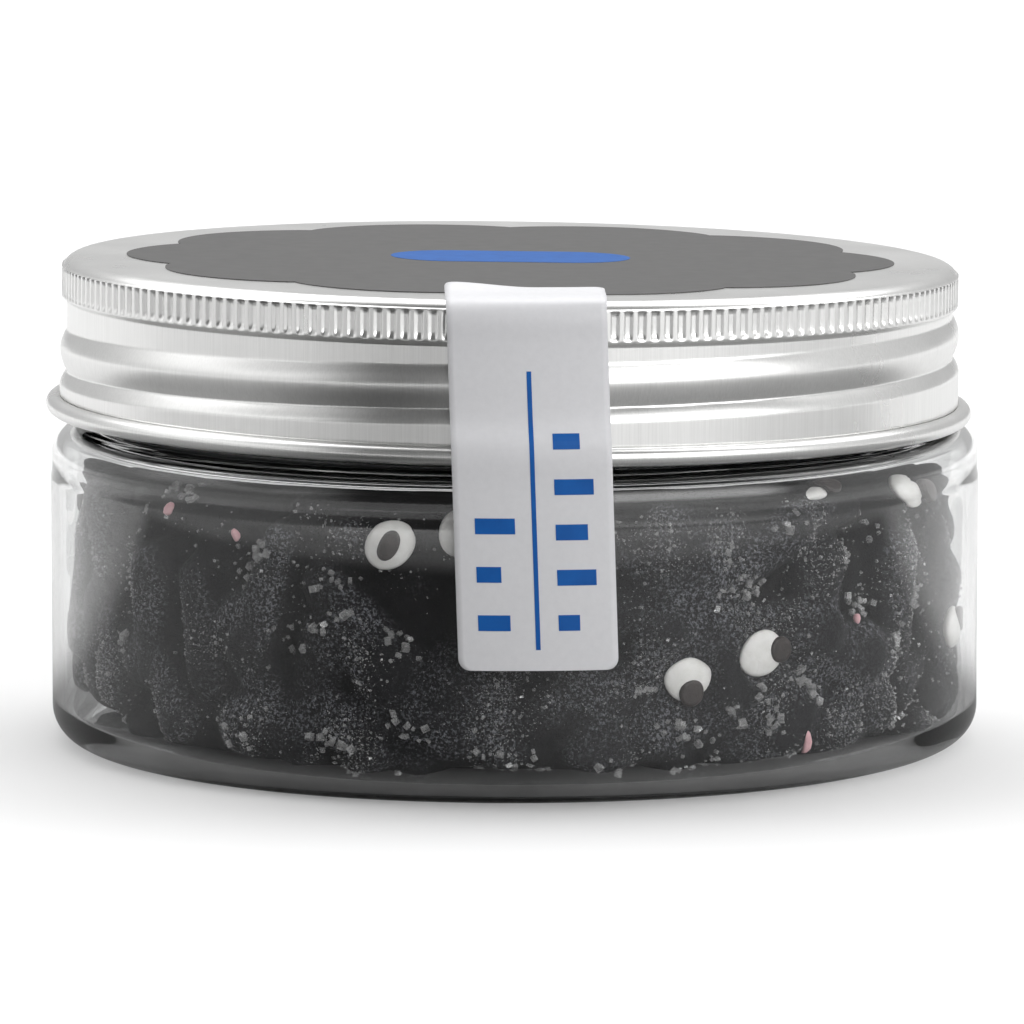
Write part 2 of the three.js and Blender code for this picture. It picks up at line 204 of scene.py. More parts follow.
# The candy eyes: the angle and height of the white, how it is turned, its half length and half width, where
# its dark drop lies to the right and up from its middle, and how much longer than wide that drop is.
EYES_SHOWN = [
    (-15.4, 24.6, 40, 2.5, 2.15, 0.05, 0.1, 1.45),
    (-6.6, 26.2, 80, 2.4, 2.0, 0.5, 0.9, 1),
    (21.8, 11.7, 10, 2.5, 2.0, 0.0, -1.35, 1),
    (32.0, 13.6, 60, 2.4, 2.15, 1.75, 0.3, 1),
    (60.7, 27.4, 0, 2.4, 1.8, 2.3, -0.2, 1),
    (41.5, 28.6, 10, 1.9, 0.8, 2.2, 1.2, 1),
    (78.0, 12.0, 30, 2.4, 1.9, 0.4, 0.8, 1),
    (112, 21, 20, 2.4, 2.0, 0.6, -0.8, 1),
    (123, 19, 70, 2.4, 1.9, 1.2, 0.2, 1),
    (196, 9, 50, 2.4, 2.0, -0.8, 0.6, 1),
    (207, 11, 15, 2.4, 1.9, 0.2, 1.2, 1),
    (262, 22, 100, 2.4, 2.0, 0.7, 0.9, 1),
]
EYE_THICKNESS = 0.9
EYE_LIFT = 1.05
PUPIL_RADIUS = 1.3
PUPIL_THICKNESS = 0.7
PUPIL_LIFT = 0.35
EYE_SEAT = 1.35

# Where sugar crystals have gathered, as angles and heights.
SUGAR_CLUSTERS = [
    (-33.3, 23.6), (-33.8, 22.6), (-36.4, 20.9), (-25, 20.8), (-22.8, 21.2), (-20.8, 18), (-25.4, 16.6),
    (-29.6, 15.4), (-13.3, 14.8), (-15, 16), (-24.4, 5.8), (-22.4, 5.6), (-22, 2.8), (-20.4, 1.9),
    (-14, 1.4), (-15.6, 7.2), (-54, 28.4), (-50, 28.2), (-48, 28), (-60, 13), (-35, 5), (-11.5, 7),
    (-4.2, 3.9), (-0.6, 3), (2.4, 3.4), (3, 1.9), (15.6, 11), (18.4, 7.8), (20.6, 6.2), (24, 6.4),
    (25.4, 3.6), (25.8, 2.4), (22.5, 2.2), (21, 1.6), (28.2, 7.4), (33, 6.6), (32, 9.2), (38.4, 10.6),
    (40.6, 9), (29, 20), (31.4, 19), (27, 19.4), (35.5, 25.6), (46.6, 22.4), (52, 16.4), (48, 16.8),
    (57.4, 13), (54, 24), (28, 22.6), (60.4, 16.6), (62, 4), (12.4, 3), (36, 2.6),
]
# The pink crumbs, as the angle, the height, and half the width and height.
CRUMBS_SHOWN = [
    (38.6, 4.4, 0.55, 1.35),
    (-36.2, 24.8, 0.4, 0.7),
    (-47.5, 26.6, 0.6, 0.7),
    (47, 16, 0.35, 0.5),
]
CRYSTALS_EACH = 5
LOOSE_CRYSTALS = 1800
DUST_GRAINS = 26000
CLUSTER_SPREAD = 0.75

# -------------------------------------------------- mesh tools


def piece(name, points, faces, material, slot=None, replaces=(), smooth=True):
    """A mesh piece from points in millimetres, which rides with the jar."""
    mesh = bpy.data.meshes.new(name)
    mesh.from_pydata((np.asarray(points) * MM).tolist(), [], faces)
    form = bmesh.new()
    form.from_mesh(mesh)
    bmesh.ops.recalc_face_normals(form, faces=form.faces)
    form.to_mesh(mesh)
    form.free()
    mesh.polygons.foreach_set("use_smooth", [smooth] * len(mesh.polygons))
    mesh.materials.append(material)
    made = bpy.data.objects.new(name, mesh)
    bpy.context.scene.collection.objects.link(made)
    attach(made, "root")
    if replaces:
        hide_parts(*replaces)
    return made


def arc(centre, radius, start, end, steps):
    """Points of an arc from one angle to another in degrees."""
    angles = np.radians(np.linspace(start, end, steps + 1))
    return [(centre[0] + radius * math.cos(a), centre[1] + radius * math.sin(a)) for a in angles]


def turned(profile, sides):
    """Points and faces of a profile turned about Z.

    Each row is a radius, a height and, where it isn't 1, how many times as many sides it has as the rest.
    The ends may lie on the axis.
    """
    points, rings = [], []
    for radius, height, *times in profile:
        count = sides * (times[0] if times else 1)
        start = len(points)
        if radius < 1e-6:
            points.append((0, 0, height))
            rings.append([start])
        else:
            angles = 2 * np.pi * np.arange(count) / count
            points += [(radius * math.sin(a), -radius * math.cos(a), height) for a in angles]
            rings.append(list(range(start, start + count)))
    faces = []
    for low, high in zip(rings, rings[1:]):
        count = max(min(len(low), len(high)), sides)
        for i in range(count):
            under, over = part_of_ring(low, i, count), part_of_ring(high, i, count)
            faces.append(tuple(under + over[::-1]))
    return np.array(points, float), faces


def part_of_ring(ring, i, count):
    """The corners of a ring from its side i of count to the next."""
    if len(ring) == 1:
        return ring
    each = len(ring) // count
    return [ring[k % len(ring)] for k in range(i * each, (i + 1) * each + 1)]


def joined(forms):
    """One set of points and faces from several."""
    points, faces, start = [], [], 0
    for form_points, form_faces in forms:
        points.append(form_points)
        faces += [tuple(i + start for i in face) for face in form_faces]
        start += len(form_points)
    return np.concatenate(points), faces


def smoothstep(low, high, x):
    t = np.clip((x - low) / (high - low), 0, 1)
    return t * t * (3 - 2 * t)


# -------------------------------------------------- material tools


class Nodes:
    """A material's or the world's node tree, with short ways to add and join nodes."""

    def __init__(self, name):
        self.material = bpy.data.materials.new(name)
        self.material.use_nodes = True
        self.clear(self.material.node_tree, "ShaderNodeOutputMaterial")

    @classmethod
    def of_world(cls, world):
        made = cls.__new__(cls)
        made.clear(world.node_tree, "ShaderNodeOutputWorld")
        return made

    def clear(self, tree, output):
        self.tree = tree
        tree.nodes.clear()
        self.output = tree.nodes.new(output)

    def add(self, kind, **settings):
        node = self.tree.nodes.new("ShaderNode" + kind)
        for key, value in settings.items():
            setattr(node, key, value)
        return node

    def set(self, node, **values):
        """Sets inputs by name, with _ for a space: a node's output socket is joined, and a value is set."""
        for key, value in values.items():
            self.give(node.inputs[key.replace("_", " ")], value)
        return node

    def give(self, socket, value):
        if isinstance(value, bpy.types.NodeSocket):
            self.tree.links.new(value, socket)
        else:
            socket.default_value = value

    def principled(self, **values):
        return self.set(self.add("BsdfPrincipled"), **values)

    def place(self):
        return self.add("TexCoord").outputs["Object"]

    def noise(self, vector, scale, detail=3.0, roughness=0.6):
        node = self.set(self.add("TexNoise"), Vector=vector, Scale=scale, Detail=detail, Roughness=roughness)
        return node.outputs["Fac"]

    def stretched(self, vector, scale):
        mapping = self.set(self.add("Mapping"), Vector=vector, Scale=scale)
        return mapping.outputs["Vector"]

    def ramp(self, value, low, high, to_low=0.0, to_high=1.0):
        node = self.add("MapRange")
        node.inputs["From Min"].default_value = low
        node.inputs["From Max"].default_value = high
        node.inputs["To Min"].default_value = to_low
        node.inputs["To Max"].default_value = to_high
        self.tree.links.new(value, node.inputs["Value"])
        return node.outputs["Result"]

    def smooth(self, value, low, high):
        """0 below low, 1 above high and a smooth step between. The two may be the other way round."""
        falls = low > high
        node = self.add("MapRange", interpolation_type="SMOOTHSTEP")
        node.inputs["From Min"].default_value = min(low, high)
        node.inputs["From Max"].default_value = max(low, high)
        node.inputs["To Min"].default_value = 1.0 if falls else 0.0
        node.inputs["To Max"].default_value = 0.0 if falls else 1.0
        self.tree.links.new(value, node.inputs["Value"])
        return node.outputs["Result"]

    def math(self, operation, a, b):
        node = self.add("Math", operation=operation)
        for socket, value in zip(node.inputs, (a, b)):
            self.give(socket, value)
        return node.outputs["Value"]

    def mix(self, factor, first, second):
        node = self.add("Mix", data_type="RGBA")
        self.give(node.inputs["Factor"], factor)
        self.give(node.inputs[6], first)
        self.give(node.inputs[7], second)
        return node.outputs[2]

    def bump(self, height, distance, strength=1.0, normal=None):
        node = self.set(self.add("Bump"), Height=height, Distance=distance, Strength=strength)
        if normal is not None:
            self.tree.links.new(normal, node.inputs["Normal"])
        return node.outputs["Normal"]

    def finish(self, shader):
        self.tree.links.new(shader.outputs[0], self.output.inputs["Surface"])
        return self.material


def grey(value, alpha=1.0):
    return (value, value, value, alpha)


def clear_plastic():
    n = Nodes("clear_plastic")
    at = n.place()
    waves = n.noise(n.stretched(at, (1, 1, 0.4)), 38.0, 1.5)
    body = n.principled(
        Base_Color=(0.985, 0.99, 0.99, 1),
        Roughness=0.012,
        IOR=1.54,
        Transmission_Weight=1.0,
        Normal=n.bump(waves, 0.00035, 0.25),
    )
    open_to_light = n.set(n.add("BsdfTransparent"), Color=grey(0.92))
    shader = n.add("MixShader")
    n.tree.links.new(n.add("LightPath").outputs["Is Shadow Ray"], shader.inputs[0])
    n.tree.links.new(body.outputs[0], shader.inputs[1])
    n.tree.links.new(open_to_light.outputs[0], shader.inputs[2])
    return n.finish(shader)


def aluminium():
    n = Nodes("spun_aluminium")
    at = n.place()
    lines = n.noise(n.stretched(at, (1, 1, 0.02)), 6000.0, 2.0)
    dull = n.noise(n.stretched(at, (1, 1, 0.3)), 90.0, 3.0)
    facing = n.set(n.add("SeparateXYZ"), Vector=n.add("NewGeometry").outputs["Normal"])
    upright = n.smooth(n.math("ABSOLUTE", facing.outputs["Z"], 0.0), 0.8, 0.4)
    streaks = n.math("ADD", n.math("MULTIPLY", lines, 0.7), n.math("MULTIPLY", dull, 0.3))
    tone = n.mix(n.ramp(streaks, 0.35, 0.65), (0.80, 0.80, 0.79, 1), (0.88, 0.88, 0.87, 1))
    shader = n.principled(
        Base_Color=tone,
        Metallic=1.0,
        Roughness=n.ramp(dull, 0.3, 0.7, 0.27, 0.32),
        Normal=n.bump(n.math("MULTIPLY", lines, upright), 0.00002, 0.3),
    )
    return n.finish(shader)


# In metres: how far from the wall the dusted rims of the lobes begin and end and the bare gaps with painted
# shade begin, and the heights over which the sugar specks fade out under the lid as painted shade.
RIM_BEGINS = (0.0001, 0.0008)
RIM_ENDS = (0.0024, 0.0011)
BARE_SHADED_GAP_BEGINS = (0.0010, 0.0026)
SHADE_UNDER_LID = (0.0276, 0.0290)


def black_jelly():
    """Dark where it is pressed to the wall and dusted with sugar on the rims of the lobes. It is bare in the
    gaps between them, with painted shade there, and its sugar specks fade out under the lid as painted shade."""
    n = Nodes("black_jelly")
    at = n.place()
    flat = n.add("VectorMath", operation="LENGTH")
    n.tree.links.new(n.stretched(at, (1, 1, 0)), flat.inputs[0])
    depth = n.math("SUBTRACT", HEAP_SIDE * MM, flat.outputs["Value"])
    rim = n.math("MULTIPLY", n.smooth(depth, *RIM_BEGINS), n.smooth(depth, *RIM_ENDS))
    bare_shaded_gap = n.smooth(depth, *BARE_SHADED_GAP_BEGINS)
    dust = n.noise(at, 3200.0, 4.0, 0.8)
    patches = n.noise(at, 170.0, 4.0, 0.6)
    specks = n.math("MULTIPLY", n.ramp(dust, 0.50, 0.62), n.ramp(patches, 0.42, 0.62, 0.15, 1.0))
    split = n.set(n.add("SeparateXYZ"), Vector=at)
    shade_under_lid = n.smooth(split.outputs["Z"], *SHADE_UNDER_LID)
    shares = n.math("MULTIPLY", n.ramp(rim, 0.0, 1.0, 0.22, 1.4), n.ramp(bare_shaded_gap, 0.0, 1.0, 1.0, 0.12))
    # Painted shade under the lid: the sugar specks fade almost away towards the top of the heap.
    shares = n.math("MULTIPLY", shares, n.ramp(shade_under_lid, 0.0, 1.0, 1.0, 0.1))
    sugar = n.math("MULTIPLY", specks, shares)
    # Painted shade: the jelly is far darker and a little bluer in the gaps between the lobes.
    body = n.mix(bare_shaded_gap, (0.009, 0.009, 0.0105, 1), (0.0012, 0.0012, 0.002, 1))
    colour = n.mix(sugar, body, (0.17, 0.173, 0.19, 1))
    grains = n.bump(dust, 0.00025, 0.7)
    lumps = n.bump(n.noise(at, 420.0, 3.0), 0.0005, 0.5, grains)
    shader = n.principled(
        Base_Color=colour,
        Roughness=n.ramp(patches, 0.3, 0.7, 0.6, 0.8),
        Normal=lumps,
        Specular_IOR_Level=0.16,
    )
    return n.finish(shader)


def sugar_crystal():
    n = Nodes("sugar_crystal")
    haze = n.noise(n.place(), 1500.0, 2.0)
    shader = n.principled(
        Base_Color=n.mix(n.ramp(haze, 0.3, 0.7), (0.7, 0.7, 0.7, 1), (0.96, 0.96, 0.96, 1)),
        Roughness=0.12,
        IOR=1.54,
        Transmission_Weight=0.8,
    )
    return n.finish(shader)


def candy(name, light, dark, roughness):
    n = Nodes(name)
    at = n.place()
    mottle = n.noise(at, 900.0, 3.0)
    shader = n.principled(
        Base_Color=n.mix(n.ramp(mottle, 0.35, 0.65), dark, light),
        Roughness=roughness,
        Normal=n.bump(n.noise(at, 2200.0, 2.0), 0.00012, 0.4),
    )
    return n.finish(shader)


def paper():
    n = Nodes("white_paper")
    at = n.place()
    fibres = n.noise(at, 1400.0, 4.0)
    shader = n.principled(
        Base_Color=n.mix(n.ramp(fibres, 0.3, 0.7), (0.70, 0.70, 0.72, 1), (0.73, 0.73, 0.75, 1)),
        Roughness=0.5,
        Normal=n.bump(fibres, 0.00004, 0.3),
    )
    return n.finish(shader)


def print_ink(name, light, dark, roughness, gloss=0.5):
    n = Nodes(name)
    tone = n.noise(n.place(), 500.0, 3.0)
    shader = n.principled(
        Base_Color=n.mix(n.ramp(tone, 0.3, 0.7), dark, light),
        Roughness=roughness,
        Specular_IOR_Level=gloss,
    )
    return n.finish(shader)


# -------------------------------------------------- jar


def make_jar():
    """The outside from the middle of the base up to the neck, and the inside down again."""
    shoulder = (JAR_RADIUS - STEP_IN - SHOULDER_BEND, SHOULDER_START)
    shoulder_top = SHOULDER_START + SHOULDER_BEND
    corner = (JAR_RADIUS - FOOT_CORNER, FOOT_CORNER)
    outside = [
        (0, BASE_PUSH_UP),
        (FOOT_INNER_RADIUS - 2.5, BASE_PUSH_UP),
        (FOOT_INNER_RADIUS - 1.6, BASE_PUSH_UP - 0.12),
        (FOOT_INNER_RADIUS - 0.7, 0.25),
        (FOOT_INNER_RADIUS, 0.03),
        (FOOT_INNER_RADIUS + 0.8, 0),
        *arc(corner, FOOT_CORNER, -90, 0, 14),
        (JAR_RADIUS, BODY_STEP - 0.4),
        (JAR_RADIUS - 0.03, BODY_STEP),
        (JAR_RADIUS - STEP_IN, BODY_STEP + 0.5),
        *arc(shoulder, SHOULDER_BEND, 0, 84, 12),
        (NECK_RADIUS + 0.5, shoulder_top + 0.12),
        (NECK_RADIUS, shoulder_top + 0.7),
        (NECK_RADIUS, NECK_TOP),
    ]
    inner_corner = FOOT_CORNER - 0.5
    inner_bend = SHOULDER_BEND - JAR_WALL
    floor = JAR_WALL + BASE_PUSH_UP
    neck = NECK_RADIUS - JAR_WALL
    inside = [
        (neck, NECK_TOP),
        (neck, shoulder_top - JAR_WALL + 0.6),
        (neck + 0.4, shoulder_top - JAR_WALL + 0.1),
        *arc((JAR_INSIDE - STEP_IN - inner_bend, SHOULDER_START), inner_bend, 84, 0, 8),
        (JAR_INSIDE, BODY_STEP),
        *arc((JAR_INSIDE - inner_corner, floor + inner_corner - 0.6), inner_corner, 0, -80, 10),
        (0, floor),
    ]
    points, faces = turned([*outside, *inside], JAR_SIDES)
    piece("jar_clear", points, faces, clear_plastic(), "clear_plastic", ["jar"])


# -------------------------------------------------- lid


def askew(points):
    """Sets the lid's own points at its tilt and shift, turning about the middle of its bead."""
    pivot = BEAD_CENTRE[1]
    x, y, z = points[:, 0], points[:, 1], points[:, 2] - pivot
    turned_x = x * math.cos(LID_TILT) + z * math.sin(LID_TILT) + LID_SHIFT
    turned_z = -x * math.sin(LID_TILT) + z * math.cos(LID_TILT) + pivot
    return np.stack([turned_x, y, turned_z], axis=1)


def thread_radius(height, bearing):
    """The lid's radius in its waist: a rolled ridge that climbs a pitch in a turn, and the step out to the
    skirt."""
    off = height - (THREAD_CREST + THREAD_PITCH * bearing / (2 * np.pi))
    under_knurl = smoothstep(KNURL_BOTTOM - 0.3, KNURL_BOTTOM - 1.2, height)
    above = np.clip(off / THREAD_ABOVE, 0, 1)
    below = np.clip(-off / THREAD_BELOW, 0, 1)
    ridge = THREAD_HEIGHT * (1 - above**1.6) * (1 - below**2) * under_knurl
    step = np.clip((-off - THREAD_BELOW) / SKIRT_STEP, 0, 1)
    skirt = (SKIRT_RADIUS - WAIST_RADIUS) * (1 - (1 - step) ** 1.4)
    return WAIST_RADIUS + ridge + skirt


def lid_relief(points):
    """How far the knurl and the rolled thread move each outer point out from the waist or the rim."""
    x, y, z = points.T
    bearing = np.arctan2(x, -y)
    # At the back the ridge runs out at the top as the next turn begins below it.
    bearing = np.where(bearing < -2.5, bearing + 2 * np.pi, bearing)
    next_turn = smoothstep(2.5, 2 * np.pi - 2.5, bearing)
    waist = (1 - next_turn) * thread_radius(z, bearing) + next_turn * thread_radius(z, bearing - 2 * np.pi)
    across = (bearing / (2 * np.pi) * KNURL_RIBS) % 1
    slots = smoothstep(*SLOT_EDGE, np.abs(across - 0.5))
    low_ends = smoothstep(KNURL_BOTTOM, KNURL_BOTTOM + SLOT_FADES_BELOW, z)
    high_ends = smoothstep(KNURL_TOP, KNURL_TOP - SLOT_FADES_ABOVE, z)
    in_waist = (z < KNURL_BOTTOM - 0.3) & (z > BEAD_CENTRE[1] + BEAD_RADIUS)
    return np.where(in_waist, waist - WAIST_RADIUS, -KNURL_DEPTH * slots * np.minimum(low_ends, high_ends))


def make_lid():
    """The turned and pressed sheet, dark on its inside as painted shade."""
    corner = (LID_RADIUS - LID_CORNER, LID_TOP - LID_CORNER)
    low = BEAD_CENTRE[1] + BEAD_RADIUS
    # The rows lie close where the slots fade out.
    knurl = [KNURL_TOP, 47.05, 46.95, 46.8, 46.5, 45.6, 44.9, 44.7, 44.5, 44.3, KNURL_BOTTOM]
    waist = np.linspace(KNURL_BOTTOM - 0.4, low + 0.1, 62)
    profile = [
        (0, LID_TOP),
        *[(r, LID_TOP) for r in (12, 24, 34, 40, 42.4)],
        *arc(corner, LID_CORNER, 90, 26, 10),
        *[(LID_RADIUS, z, 5) for z in knurl],
        (LID_RADIUS - 0.04, KNURL_BOTTOM - 0.1),
        (LID_RADIUS - 0.22, KNURL_BOTTOM - 0.22),
        *[(WAIST_RADIUS, z) for z in waist],
        (SKIRT_RADIUS - 0.04, low - 0.02),
        (SKIRT_RADIUS - 0.18, low - 0.16),
        (SKIRT_RADIUS - 0.34, low - 0.3),
        *arc(BEAD_CENTRE, BEAD_RADIUS, 135, -150, 22),
        (LID_BORE + 0.1, BEAD_CENTRE[1] + 0.2),
        (LID_BORE + 0.1, LID_TOP - LID_SHEET - 1),
        (LID_BORE - 0.6, LID_TOP - LID_SHEET),
        (0, LID_TOP - LID_SHEET),
    ]
    points, faces = turned(profile, LID_SIDES)
    radius = np.hypot(points[:, 0], points[:, 1])
    bore = LID_BORE + 0.2
    outer = (radius > bore) & (points[:, 2] < KNURL_TOP) & (points[:, 2] > low)
    scale = np.ones(len(points))
    scale[outer] = (radius[outer] + lid_relief(points[outer])) / radius[outer]
    points[:, :2] *= scale[:, None]
    # The inside faces get a dark material: painted shade standing in for the shadow inside the lid.
    inside = [all(radius[i] < bore and points[i, 2] < LID_TOP - 0.1 for i in face) for face in faces]
    made = piece("lid_aluminium", askew(points), faces, aluminium(), "spun_aluminium", ["lid"])
    made.data.materials.append(print_ink("lid_inside_painted_shade", grey(0.03), grey(0.02), 0.6, 0.2))
    made.data.polygons.foreach_set("material_index", [int(part) for part in inside])


# -------------------------------------------------- printed label


def slab(outline, low, high):
    """A flat slab of an outline of (x, y), as points and faces with a rim of its own."""
    n = len(outline)
    points = [(x, y, low) for x, y in outline] + [(x, y, high) for x, y in outline]
    faces = [tuple(range(n - 1, -1, -1)), tuple(range(n, 2 * n))]
    faces += [(i, (i + 1) % n, n + (i + 1) % n, n + i) for i in range(n)]
    return np.array(points, float), faces


BLUE_INK = print_ink("blue_print", (0.004, 0.11, 0.42, 1), (0.003, 0.09, 0.36, 1), 0.5, 0.25)


def make_badge():
    """The scalloped rosette and the round-ended bar on it."""
    count = BADGE_LOBES * BADGE_STEPS
    angles = 2 * np.pi * np.arange(count) / count
    radii = BADGE_RADIUS - BADGE_LOBE_DEPTH * (1 - np.abs(np.cos(angles * BADGE_LOBES / 2)) ** 0.8)
    outline = [(r * math.cos(a), r * math.sin(a)) for r, a in zip(radii, angles)]
    points, faces = slab(outline, LID_TOP + 0.005, LID_TOP + 0.09)
    ink = print_ink("grey_print", (0.075, 0.073, 0.072, 1), (0.055, 0.054, 0.053, 1), 0.42)
    piece("lid_rosette", askew(points), faces, ink, "grey_label", ["lid_label"], smooth=False)
    half = PILL_WIDTH / 2
    end = PILL_LENGTH / 2 - half
    outline = arc((end, PILL_BACK), half, -90, 90, 16) + arc((-end, PILL_BACK), half, 90, 270, 16)
    points, faces = slab(outline, LID_TOP + 0.095, LID_TOP + 0.115)
    piece("lid_pill", askew(points), faces, BLUE_INK, "blue_print", ["lid_label"], smooth=False)


# -------------------------------------------------- paper seal


def seal_path():
    """The seal's way over the lid's edge and down the jar, as evenly spaced rows of radius and height."""
    over = LID_TOP + 0.1 + PAPER_GAP
    out = LID_RADIUS + PAPER_GAP + 0.12
    wall = JAR_RADIUS + PAPER_GAP
    # From its raised end over the rim, down the lid, over the bead to the shoulder and down the wall.
    knots = np.array([
        (SEAL_TOP_END, over + 0.35), (SEAL_TOP_END + 3, over + 0.1), (out - 1.9, over),
        (out - 0.5, over - 0.45), (out, over - 1.8), (out, 44), (out + 0.2, 40), (out + 0.6, 36.6),
        (wall - 0.1, 34.8), (wall + 0.1, 33.2), (wall, 31), (wall, 27), (wall, SEAL_BOTTOM),
    ])
    return rows_along(knots, 120)


def rows_along(knots, count):
    """Evenly spaced points on a centripetal Catmull-Rom curve through the knots."""
    ends = [2 * knots[0] - knots[1], *knots, 2 * knots[-1] - knots[-2]]
    fine = []
    for p0, p1, p2, p3 in zip(ends, ends[1:], ends[2:], ends[3:]):
        t0 = 0.0
        t1 = t0 + np.linalg.norm(p1 - p0) ** 0.5
        t2 = t1 + np.linalg.norm(p2 - p1) ** 0.5
        t3 = t2 + np.linalg.norm(p3 - p2) ** 0.5
        for t in np.linspace(t1, t2, 40, endpoint=False):
            a1 = (t1 - t) / (t1 - t0) * p0 + (t - t0) / (t1 - t0) * p1
            a2 = (t2 - t) / (t2 - t1) * p1 + (t - t1) / (t2 - t1) * p2
            a3 = (t3 - t) / (t3 - t2) * p2 + (t - t2) / (t3 - t2) * p3
            b1 = (t2 - t) / (t2 - t0) * a1 + (t - t0) / (t2 - t0) * a2
            b2 = (t3 - t) / (t3 - t1) * a2 + (t - t1) / (t3 - t1) * a3
            fine.append((t2 - t) / (t2 - t1) * b1 + (t - t1) / (t2 - t1) * b2)
    fine = np.array([*fine, knots[-1]])
    steps = np.linalg.norm(np.diff(fine, axis=0), axis=1)
    along = np.concatenate([[0], np.cumsum(steps)])
    at = np.linspace(0, along[-1], count)
    return np.stack([np.interp(at, along, fine[:, i]) for i in (0, 1)], axis=1), along[-1]


SEAL_ROWS, SEAL_LENGTH = seal_path()


def on_seal(across, along, lift):
    """Where a point of the seal lies: across and along it from the middle of its top end, lifted off the
    paper."""
    share = np.linspace(0, SEAL_LENGTH, len(SEAL_ROWS))
    radius = np.interp(along, share, SEAL_ROWS[:, 0])
    height = np.interp(along, share, SEAL_ROWS[:, 1])
    tangent = np.gradient(SEAL_ROWS, share, axis=0)
    tangent /= np.linalg.norm(tangent, axis=1)[:, None]
    tr = np.interp(along, share, tangent[:, 0])
    tz = np.interp(along, share, tangent[:, 1])
    middle = SEAL_ANGLE + SEAL_SLANT * (LID_TOP - height) / JAR_RADIUS
    radius, height = radius - tz * lift, height + tr * lift
    spread = across / np.maximum(radius, LID_RADIUS)
    flat = smoothstep(LID_TOP - 1, LID_TOP, height)
    x = radius * np.sin(middle + spread) * (1 - flat) + (radius * np.sin(middle) + across) * flat
    y = radius * np.cos(middle + spread) * (1 - flat) + radius * np.cos(spread) * flat
    # The left corner of the top end curls up a little.
    curl = SEAL_CURL * smoothstep(2.6, 0, along) * smoothstep(1, -7, across)
    return np.stack([x, -y, height + curl], axis=-1)


def strip(left, right, top, bottom, low, high, columns=10, corner=0.0):
    """A patch of the seal between two lifts: its front, its back and its rim."""
    rows = max(2, int((bottom - top) / 0.35))
    across = np.linspace(left, right, columns + 1)
    along = np.linspace(top, bottom, rows + 1)
    if corner:
        near = np.array([0, 0.03, 0.1, 0.22, 0.42, 0.7, 1.0]) * corner
        between = along[(along > top + corner) & (along < bottom - corner)]
        along = np.unique(np.concatenate([top + near, between, bottom - near]))
    grid_across, grid_along = np.meshgrid(across, along)
    if corner:
        from_end = np.minimum(np.minimum(grid_along - top, bottom - grid_along), corner)
        cut = corner - np.sqrt(np.maximum(corner**2 - (corner - from_end) ** 2, 0))
        middle, half = (left + right) / 2, (right - left) / 2
        grid_across = middle + (grid_across - middle) * (half - cut) / half
    n_rows, n_columns = grid_across.shape
    front = on_seal(grid_across, grid_along, high).reshape(-1, 3)
    back = on_seal(grid_across, grid_along, low).reshape(-1, 3)
    count = len(front)

    def at(r, c):
        return r * n_columns + c

    faces = []
    for r in range(n_rows - 1):
        for c in range(n_columns - 1):
            a, b, d, e = at(r, c), at(r, c + 1), at(r + 1, c + 1), at(r + 1, c)
            faces.append((a, e, d, b))
            faces.append((count + a, count + b, count + d, count + e))
    rim = [at(0, c) for c in range(n_columns)]
    rim += [at(r, n_columns - 1) for r in range(1, n_rows)]
    rim += [at(n_rows - 1, c) for c in range(n_columns - 2, -1, -1)]
    rim += [at(r, 0) for r in range(n_rows - 2, 0, -1)]
    faces += [(a, b, count + b, count + a) for a, b in zip(rim, rim[1:] + rim[:1])]
    return np.concatenate([front, back]), faces


# The print on the seal, measured up from its lower end: a thin line, and bars in two columns. Each column has
# its left edge, the start of its first bar, the step to the next and the bars' lengths.
LINE_HALF_WIDTH = 0.22
LINE_FROM = 28.5
LINE_TO = 2
BAR_HEIGHT = 1.5
BAR_COLUMNS = [(-5.6, 14.5, 4.6, (3.78, 2.34, 3.06)), (2, 22.5, 4.3, (2.55, 3.74, 3.06, 3.74, 2.04))]


def make_seal():
    half = SEAL_WIDTH / 2
    points, faces = strip(-half, half, 0, SEAL_LENGTH, 0, PAPER, 24, SEAL_CORNER)
    piece("seal_paper", points, faces, paper(), "white_paper", ["paper_seal"])
    low, high = PAPER + 0.01, PAPER + 0.035
    end = SEAL_LENGTH
    bars = [strip(-LINE_HALF_WIDTH, LINE_HALF_WIDTH, end - LINE_FROM, end - LINE_TO, low, high, 2)]
    for left, first, step, lengths in BAR_COLUMNS:
        for k, length in enumerate(lengths):
            start = end - first + step * k
            bars.append(strip(left, left + length, start, start + BAR_HEIGHT, low, high, 4))
    points, faces = joined(bars)
    piece("seal_print", points, faces, BLUE_INK, "blue_print", ["paper_seal"], smooth=False)


# -------------------------------------------------- spiders


def ball(radii, around=28, rings=16):
    points, faces = turned([(math.sin(a), -math.cos(a)) for a in np.linspace(0, math.pi, rings + 1)], around)
    return points * np.array(radii), faces


def leg_form(length, girth=1.0):
    """A leg along +Y, which grows fatter towards its round tip."""
    points, faces = ball((1, 1, 1), 20, 18)
    points = points[:, [0, 2, 1]] * np.array([1, 1, -1])
    tip = points[:, 1] > 0
    points = points * np.where(tip, LEG_TIP, LEG_ROOT)[:, None] * girth
    points[tip, 1] += length - LEG_TIP * girth
    return points, faces


def wobble(points, amount, size, seed):
    """A soft unevenness, so that no two sweets are alike."""
    draw = np.random.default_rng(seed)
    shift = np.zeros_like(points)
    for _ in range(9):
        wave = draw.normal(size=3) / size
        shift += np.sin(points @ wave + draw.uniform(0, 2 * np.pi))[:, None] * draw.normal(size=3)
    return points + amount * shift / 3


